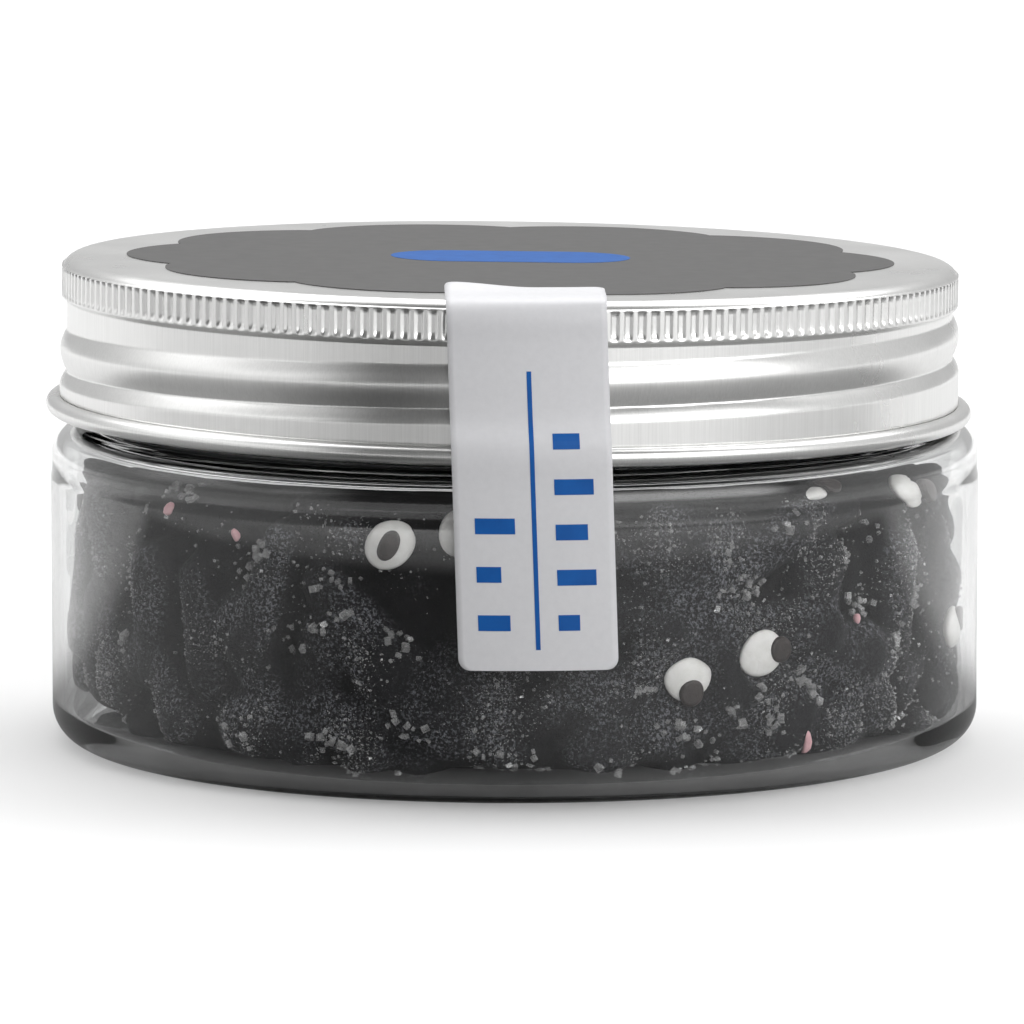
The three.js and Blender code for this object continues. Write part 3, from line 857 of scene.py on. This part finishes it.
def spider_form(seed):
    """One spider in its own axes: ahead, aside and away from the wall."""
    draw = np.random.default_rng(seed)
    forms = []
    for centre, radii in (ABDOMEN, HEAD):
        points, faces = ball(np.array(radii) * draw.uniform(0.96, 1.06, 3))
        forms.append((points + np.array(centre), faces))
    for side in (-1, 1):
        for ahead, spread in zip(LEG_AHEAD, LEG_SPREAD):
            points, faces = leg_form(LEG_LENGTH * draw.uniform(0.86, 1.08))
            # The outer part of the leg bends a little further round.
            points[:, 0] += 0.02 * side * draw.normal() * np.clip(points[:, 1] - 5, 0, None) ** 2 / 5
            turn = side * math.radians(spread + draw.uniform(-9, 9)) - math.pi / 2
            x = points[:, 0] * math.cos(turn) - points[:, 1] * math.sin(turn)
            y = points[:, 0] * math.sin(turn) + points[:, 1] * math.cos(turn)
            z = points[:, 2] * LEG_FLATNESS
            forms.append((np.stack([x + ahead, y + side * LEG_ASIDE, z + LEG_DEPTH], axis=1), faces))
    points, faces = joined(forms)
    return wobble(points, 0.45, 7.0, seed + 50), faces


def melted(points, faces):
    """Fuses overlapping closed forms into one soft skin."""
    mesh = bpy.data.meshes.new("melting")
    mesh.from_pydata((points * MM).tolist(), [], faces)
    form = bpy.data.objects.new("melting", mesh)
    bpy.context.scene.collection.objects.link(form)
    remesh = form.modifiers.new("melt", "REMESH")
    remesh.mode = "VOXEL"
    remesh.voxel_size = VOXEL * MM
    soften = form.modifiers.new("soften", "SMOOTH")
    soften.factor = 0.5
    soften.iterations = 1
    skin = form.evaluated_get(bpy.context.evaluated_depsgraph_get()).to_mesh()
    flat = np.empty(len(skin.vertices) * 3, np.float32)
    skin.vertices.foreach_get("co", flat)
    faces = [tuple(face.vertices) for face in skin.polygons]
    form.to_mesh_clear()
    bpy.data.objects.remove(form)
    bpy.data.meshes.remove(mesh)
    return flat.reshape(-1, 3).astype(float) / MM, faces


def heap_wall(height, depth):
    """The radius and height of a thing that lies at a height on the wall and at a depth behind it.

    The heap's wall runs up the inside of the jar, bent in to the floor below and to the shoulder above.
    Behind it the same curve moves in, up from the floor and down from the shoulder.
    """
    low = HEAP_FLOOR + HEAP_SQUASH * depth + HEAP_BOTTOM_BEND
    high = HEAP_TOP - HEAP_SQUASH * depth - HEAP_TOP_BEND
    below = height < low
    bend = np.where(below, HEAP_BOTTOM_BEND, HEAP_TOP_BEND)
    past = np.where(below, low - height, np.maximum(height - high, 0))
    turn = np.minimum(past / bend, np.pi / 2)
    level = np.where(below, low, np.minimum(height, high))
    radius = HEAP_SIDE - depth - bend * (1 - np.cos(turn)) - (past - turn * bend)
    place = level + np.where(below, -1, 1) * bend * np.sin(turn)
    return radius, np.where(radius < FOOT_INNER_RADIUS + 2, np.maximum(place, RAISED_FLOOR), place)


def on_wall(points, angle, height, heading, lean_right=0.0, lean_up=0.0, sink=0.0):
    """Lays points of a sweet on the wall, which presses flat what would pass it."""
    a = math.radians(heading)
    right = points[:, 0] * math.cos(a) + points[:, 1] * math.sin(a)
    up = points[:, 0] * math.sin(a) - points[:, 1] * math.cos(a)
    depth = np.maximum(points[:, 2] + sink + lean_right * right + lean_up * up, 0)
    radius, place = heap_wall(height + up, DEEPEST * (1 - np.exp(-depth / DEEPEST)))
    around = math.radians(angle) + right / HEAP_SIDE
    return np.stack([radius * np.sin(around), -radius * np.cos(around), place], axis=1)


def spiders_round_back():
    rows = []
    for k in range(SPIDERS_ROUND_BACK):
        angle = BACK_FROM + (BACK_TO - BACK_FROM) * (k + 0.5) / SPIDERS_ROUND_BACK
        height = LOWER_TIER if k % 2 else UPPER_TIER
        rows.append((angle, height, TURN_EACH * k % 360, 0.05 * (k % 3 - 1), 0.08, 0.3))
    return rows


def spiders_behind():
    """The spiders whose legs show in the gaps between those at the wall."""
    rows = []
    for k in range(SPIDERS_BEHIND):
        angle = 360 * (k + 0.5) / SPIDERS_BEHIND
        rows.append((angle, 9 if k % 2 else 21, TURN_EACH * (k + 3) % 360, 0, 0, BEHIND_SINK))
    return rows


def spiders_below():
    """The spiders that fill the corner above the floor."""
    rows = []
    for k, angle in enumerate(SPIDERS_BELOW):
        rows.append((angle, BELOW_HEIGHT + k % 2, TURN_EACH * (k + 1) % 360, 0, 0, BELOW_SINK))
    return rows


def legs_round_back():
    """The legs against the wall behind, each turned by the golden angle from the last."""
    rows = []
    for k in range(LEGS_ROUND_BACK):
        angle = BACK_FROM - 10 + (BACK_TO - BACK_FROM + 20) * (k + 0.5) / LEGS_ROUND_BACK
        rows.append((angle, BACK_LEG_HEIGHTS[k % 3], TURN_EACH * k % 360, 12 + k % 3, 1, 0.2 * (k % 4)))
    return rows


def leg_on_wall(row, index):
    """A leg that lies against the wall."""
    angle, height, way, length, girth, sink = row
    points, faces = leg_form(length, girth)
    points = wobble(points, 0.4, 6.0, 400 + index)
    points[:, 2] = (points[:, 2] + LEG_TIP * (1 - girth)) * LEG_FLATNESS + LEG_DEPTH
    points[:, 2] += 2 * LEG_TIP * (girth - 1) * LEG_FLATNESS
    return on_wall(points, angle, height, way + 90, sink=sink - PRESSED_FLAT), faces


def seated(points):
    """Presses the heap in behind the candy eyes, which sit in it by about half their thickness."""
    bearing = np.arctan2(points[:, 0], -points[:, 1])
    radius = np.hypot(points[:, 0], points[:, 1])
    kept = radius.copy()
    for angle, height, _, half_length, _, to_right, to_up, _ in EYES_SHOWN:
        for aside, over, reach in ((0, 0, half_length), (to_right, to_up, PUPIL_RADIUS)):
            turn = bearing - math.radians(angle) - aside / HEAP_SIDE
            right = HEAP_SIDE * ((turn + np.pi) % (2 * np.pi) - np.pi)
            away = np.hypot(right, points[:, 2] - height - over)
            seat = HEAP_SIDE - EYE_SEAT * smoothstep(reach + 1.0, reach + 0.1, away)
            kept = np.where(away < reach + 1.0, np.minimum(kept, seat), kept)
    points[:, :2] *= (kept / np.maximum(radius, 1e-6))[:, None]
    return points


def make_heap():
    kinds = [spider_form(seed) for seed in (1, 2, 3, 4, 5)]
    rows = [*SPIDERS_SHOWN, *spiders_round_back(), *spiders_behind(), *spiders_below()]
    forms = [leg_on_wall(row, index) for index, row in enumerate([*LEGS_SHOWN, *legs_round_back()])]
    for index, row in enumerate(rows):
        points, faces = kinds[index % len(kinds)]
        *place, sink = row
        forms.append((on_wall(points, *place, sink - PRESSED_FLAT), faces))
    levels = np.linspace(HEAP_FLOOR - 6, HEAP_TOP + 3, CORE_ROWS)
    depths = CORE_DEPTH - (CORE_DEPTH - CORE_TOP_DEPTH) * smoothstep(*CORE_FILLS_OUT, levels)
    radius, height = heap_wall(levels, depths)
    core, core_faces = turned([(0, height[0]), *zip(radius, height), (0, HEAP_TOP - 1)], CORE_SIDES)
    forms.append((wobble(core, 0.6, 3.0, 900), core_faces))
    points, faces = melted(*joined(forms))
    points = seated(points)
    piece("jelly_heap", points, faces, black_jelly(), "black_jelly", ["jelly_spiders"])
    return points, faces


def eye_forms(row, index):
    """A candy eye against the wall: a white button and the dark drop on it."""
    angle, height, turn, half_length, half_width, to_right, to_up, longer = row
    points, faces = ball((half_length, half_width, EYE_THICKNESS), 28, 14)
    points = wobble(points, 0.16, 1.5, 310 + index) + np.array([0, 0, EYE_LIFT])
    white = (on_wall(points, angle, height, turn), faces)
    stretch = math.sqrt(longer)
    points, faces = ball((PUPIL_RADIUS / stretch * 0.96, PUPIL_RADIUS * stretch, PUPIL_THICKNESS), 24, 12)
    points = wobble(points, 0.07, 1.0, 340 + index) + np.array([0, 0, PUPIL_LIFT])
    pupil = (on_wall(points, angle + math.degrees(to_right / HEAP_SIDE), height + to_up, -30), faces)
    return white, pupil


def make_eyes():
    forms = [eye_forms(row, index) for index, row in enumerate(EYES_SHOWN)]
    white = candy("white_candy", (0.88, 0.87, 0.85, 1), (0.8, 0.79, 0.76, 1), 0.38)
    dark = candy("dark_candy", (0.035, 0.026, 0.024, 1), (0.018, 0.013, 0.012, 1), 0.4)
    piece("candy_eyes", *joined([white for white, _ in forms]), white, "white_candy", ["jelly_spiders"])
    piece("candy_pupils", *joined([pupil for _, pupil in forms]), dark, "dark_candy", ["jelly_spiders"])


# -------------------------------------------------- sugar


BRICK = (
    [(x, y, z) for z in (-0.5, 0.5) for x, y in ((-0.5, -0.5), (0.5, -0.5), (0.5, 0.5), (-0.5, 0.5))],
    [(0, 3, 2, 1), (4, 5, 6, 7), (0, 1, 5, 4), (1, 2, 6, 5), (2, 3, 7, 6), (3, 0, 4, 7)],
)
SHARD = (
    [(0.5, 0, -0.3), (-0.25, 0.43, -0.3), (-0.25, -0.43, -0.3), (0, 0, 0.5)],
    [(0, 2, 1), (0, 1, 3), (1, 2, 3), (2, 0, 3)],
)


def grains(kind, places, sizes, draw):
    """Uneven grains of a kind at the places, each turned its own way."""
    corners, sides = (np.array(part, float) for part in kind)
    count = len(places)
    turn, _ = np.linalg.qr(draw.normal(size=(count, 3, 3)))
    shapes = corners[None] * draw.uniform(0.65, 1.2, (count, 1, 3)) * sizes[:, None, None]
    points = np.einsum("nij,nkj->nki", turn, shapes) + places[:, None]
    faces = sides[None].astype(int) + len(corners) * np.arange(count)[:, None, None]
    return points.reshape(-1, 3), [tuple(face) for face in faces.reshape(-1, sides.shape[1]).tolist()]


def kept_inside(places, margins):
    """Moves places in from the jar's wall by their margins where they would reach into it."""
    radius = np.hypot(places[:, 0], places[:, 1])
    scale = np.minimum(1, (JAR_INSIDE - margins) / np.maximum(radius, 1e-6))
    moved = places.copy()
    moved[:, :2] *= scale[:, None]
    return moved


def make_crumbs():
    """Crumbs of pink candy that lie against the wall."""
    forms = []
    for index, (angle, height, width, tall) in enumerate(CRUMBS_SHOWN):
        points, faces = ball((width, tall, 0.35), 9, 6)
        points = wobble(points, 0.12, 0.6, 500 + index) + np.array([0, 0, 0.45])
        forms.append((on_wall(points, angle, height, 8 * index), faces))
    pink = candy("pink_candy", (0.8, 0.5, 0.52, 1), (0.7, 0.4, 0.43, 1), 0.45)
    piece("pink_crumbs", *joined(forms), pink, "pink_candy", ["jelly_spiders"])


def patchiness(places, size, seed):
    """A soft random field between 0 and 1."""
    draw = np.random.default_rng(seed)
    field = np.zeros(len(places))
    for _ in range(14):
        field += np.sin(places @ (draw.normal(size=3) / size) + draw.uniform(0, 2 * np.pi))
    return 0.5 + 0.5 * np.tanh(field / 3)


def make_sugar(heap_points, heap_faces):
    """Fine dust on the rims of the lobes, loose crystals, and crystals that have gathered here and there."""
    draw = np.random.default_rng(77)
    corners = heap_points[np.array([face for face in heap_faces if len(face) == 4])]
    normal = np.cross(corners[:, 2] - corners[:, 0], corners[:, 3] - corners[:, 1])
    area = np.linalg.norm(normal, axis=1) / 2
    centre = corners.mean(axis=1)
    depth = HEAP_SIDE - np.hypot(centre[:, 0], centre[:, 1])
    rim = smoothstep(0.1, 0.5, depth) * smoothstep(2.2, 1.0, depth)
    near = area * smoothstep(4.5, 2.5, depth) * smoothstep(29, 27.5, centre[:, 2])
    patches = patchiness(centre, 2.2, 5) ** 3
    bearing = np.arctan2(centre[:, 0], -centre[:, 1])

    def scattered(weight, count):
        pick = draw.choice(len(corners), size=count, p=weight / weight.sum())
        return np.einsum("nk,nkj->nj", draw.dirichlet((1, 1, 1, 1), count), corners[pick])

    dust = scattered(near * (0.06 + 0.94 * patches) * (0.1 + rim), DUST_GRAINS)
    loose = scattered(near * (0.05 + patches), LOOSE_CRYSTALS)
    within_reach = area * smoothstep(6, 4, depth)
    gathered = []
    for angle, height in SUGAR_CLUSTERS:
        turn = (bearing - math.radians(angle) + np.pi) % (2 * np.pi) - np.pi
        away = (HEAP_SIDE * turn) ** 2 + (centre[:, 2] - height) ** 2
        close = np.exp(-away / (2 * CLUSTER_SPREAD**2))
        gathered.append(scattered(within_reach * close + 1e-12, CRYSTALS_EACH))
    gathered = np.concatenate(gathered)
    sugar = sugar_crystal()
    # Crystals lie between the jelly and the wall, not sunk in the jelly.
    for places, sizes, name, kind in (
        (dust, draw.uniform(0.09, 0.19, len(dust)), "sugar_dust", SHARD),
        (loose, 0.16 + 0.3 * draw.beta(1, 4, len(loose)), "sugar_grains", BRICK),
        (gathered, draw.uniform(0.3, 0.72, len(gathered)), "sugar_crystals", BRICK),
    ):
        radius = np.hypot(places[:, 0], places[:, 1])
        places[:, :2] *= ((radius + 0.35 * sizes) / radius)[:, None]
        points, faces = grains(kind, kept_inside(places, sizes * 0.6), sizes, draw)
        piece(name, points, faces, sugar, "sugar", ["jelly_spiders"], smooth=False)


# -------------------------------------------------- stage, lights, camera


# Painted light and shade on the floor, seen only in reflections and bounced light: how much light it throws
# back, least towards one bearing in front of the jar, more to both sides of it, further off and right at the
# foot, and much behind the jar.
DARK_BEARING = math.radians(-24)
DARK_HALF_WIDTH = (math.radians(8), math.radians(34))
DARK_SHARE = 0.035
SIDE_SHARE = 0.22
FAR_FROM_JAR = (0.30, 0.385)
FAR_SHARE = 0.8
NEAR_FOOT = (0.074, 0.056)
FOOT_SHARE = 0.16
BEHIND_JAR = (0.0, 0.06)
BEHIND_SHARE = 0.7


def make_stage():
    """A pale floor. It looks lighter to the camera than to the light it throws back, which carries painted
    light and shade standing in for dark studio walls seen in reflections."""
    bpy.ops.mesh.primitive_plane_add(size=12, location=(0, 0, -0.0001))
    floor = bpy.context.object
    floor.name = "floor"
    n = Nodes("pale_floor")
    at = n.place()
    split = n.set(n.add("SeparateXYZ"), Vector=at)
    bearing = n.math("ARCTAN2", split.outputs["X"], n.math("MULTIPLY", split.outputs["Y"], -1.0))
    off = n.math("ABSOLUTE", n.math("SUBTRACT", bearing, DARK_BEARING), 0.0)
    near = n.ramp(off, *DARK_HALF_WIDTH, DARK_SHARE, SIDE_SHARE)
    apart = n.add("VectorMath", operation="LENGTH")
    n.tree.links.new(at, apart.inputs[0])
    far = n.smooth(apart.outputs["Value"], *FAR_FROM_JAR)
    foot = n.smooth(apart.outputs["Value"], *NEAR_FOOT)
    lit = n.math("ADD", n.math("MULTIPLY", far, FAR_SHARE), n.math("MULTIPLY", foot, FOOT_SHARE))
    behind = n.math("MULTIPLY", n.smooth(split.outputs["Y"], *BEHIND_JAR), BEHIND_SHARE)
    shade = n.math("MAXIMUM", n.math("MAXIMUM", near, lit), behind)
    seen = n.principled(Base_Color=grey(0.86), Roughness=0.8)
    # The copy that reflections and bounced light see carries the painted light and shade; the camera sees it
    # evenly pale.
    thrown_painted_light = n.principled(Base_Color=n.mix(shade, grey(0.0), grey(1.0)), Roughness=0.8)
    shader = n.add("MixShader")
    n.tree.links.new(n.add("LightPath").outputs["Is Camera Ray"], shader.inputs[0])
    n.tree.links.new(thrown_painted_light.outputs[0], shader.inputs[1])
    n.tree.links.new(seen.outputs[0], shader.inputs[2])
    floor.data.materials.append(n.finish(shader))


# The studio's light by direction: the bearing from the front and the height of the middle of each soft light
# or dark screen, its half width and half height, all in degrees, how soft its edge is, and how much light it
# adds or takes.
SOFT_LIGHTS = [
    (40, 24, 28, 18, 0.15, 2.6),
    (-82, 38, 28, 24, 0.25, 0.55),
    (180, 66, 45, 20, 0.2, 2.6),
    (0, 66, 60, 19, 0.12, -0.6),
    (-24, 30, 22, 32, 0.2, -0.62),
]
STUDIO_LIGHT = 0.72
BACKDROP_DIMMER = 0.2
DARKEST = 0.07


def direction(bearing, height):
    b, h = math.radians(bearing), math.radians(height)
    return Vector((math.sin(b) * math.cos(h), -math.cos(b) * math.cos(h), math.sin(h)))


def make_lights():
    """Soft light from all round, a little less of it from behind the jar, and the lights and screens."""
    world = bpy.data.worlds.new("studio")
    bpy.context.scene.world = world
    world.use_nodes = True
    n = Nodes.of_world(world)
    towards = n.add("TexCoord").outputs["Generated"]

    def along(axis):
        node = n.set(n.add("VectorMath", operation="DOT_PRODUCT"))
        n.tree.links.new(towards, node.inputs[0])
        node.inputs[1].default_value = axis
        return node.outputs["Value"]

    behind = n.smooth(along(direction(180, 0)), 0.2, 0.9)
    total = n.math("SUBTRACT", STUDIO_LIGHT, n.math("MULTIPLY", behind, BACKDROP_DIMMER))
    for bearing, height, half_width, half_height, edge, strength in SOFT_LIGHTS:
        middle = direction(bearing, height)
        right = direction(bearing + 90, 0)
        up = right.cross(middle) if right.cross(middle).z > 0 else middle.cross(right)
        ahead = along(middle)
        shares = []
        for axis, half in ((right, half_width), (up, half_height)):
            reach = math.tan(math.radians(half))
            out = n.math("DIVIDE", n.math("ABSOLUTE", along(axis), 0.0), n.math("MAXIMUM", ahead, 0.05))
            shares.append(n.smooth(out, reach + edge, reach - edge))
        inside = n.math("MULTIPLY", shares[0], shares[1])
        total = n.math("ADD", total, n.math("MULTIPLY", inside, strength))
    total = n.math("MAXIMUM", total, DARKEST)
    background = n.add("Background")
    n.tree.links.new(total, background.inputs["Strength"])
    background.inputs["Color"].default_value = grey(1.0)
    n.tree.links.new(background.outputs[0], n.output.inputs["Surface"])


CAMERA_PLACE = (-0.000258, -0.7201, 0.11357)
CAMERA_DOWN = math.radians(7.215)
CAMERA_LENS = 253.8


def make_camera():
    camera = bpy.data.cameras.new("camera")
    camera.lens = CAMERA_LENS
    camera.sensor_width = 36
    camera.clip_start = 0.01
    camera.clip_end = 50
    made = bpy.data.objects.new("camera", camera)
    made.location = CAMERA_PLACE
    made.rotation_euler = (math.pi / 2 - CAMERA_DOWN, 0, 0)
    bpy.context.scene.collection.objects.link(made)
    bpy.context.scene.camera = made


make_stage()
make_lights()
make_camera()
make_jar()
make_lid()
make_badge()
make_seal()
make_eyes()
make_crumbs()
make_sugar(*make_heap())
bpy.context.scene.view_settings.view_transform = "Standard"
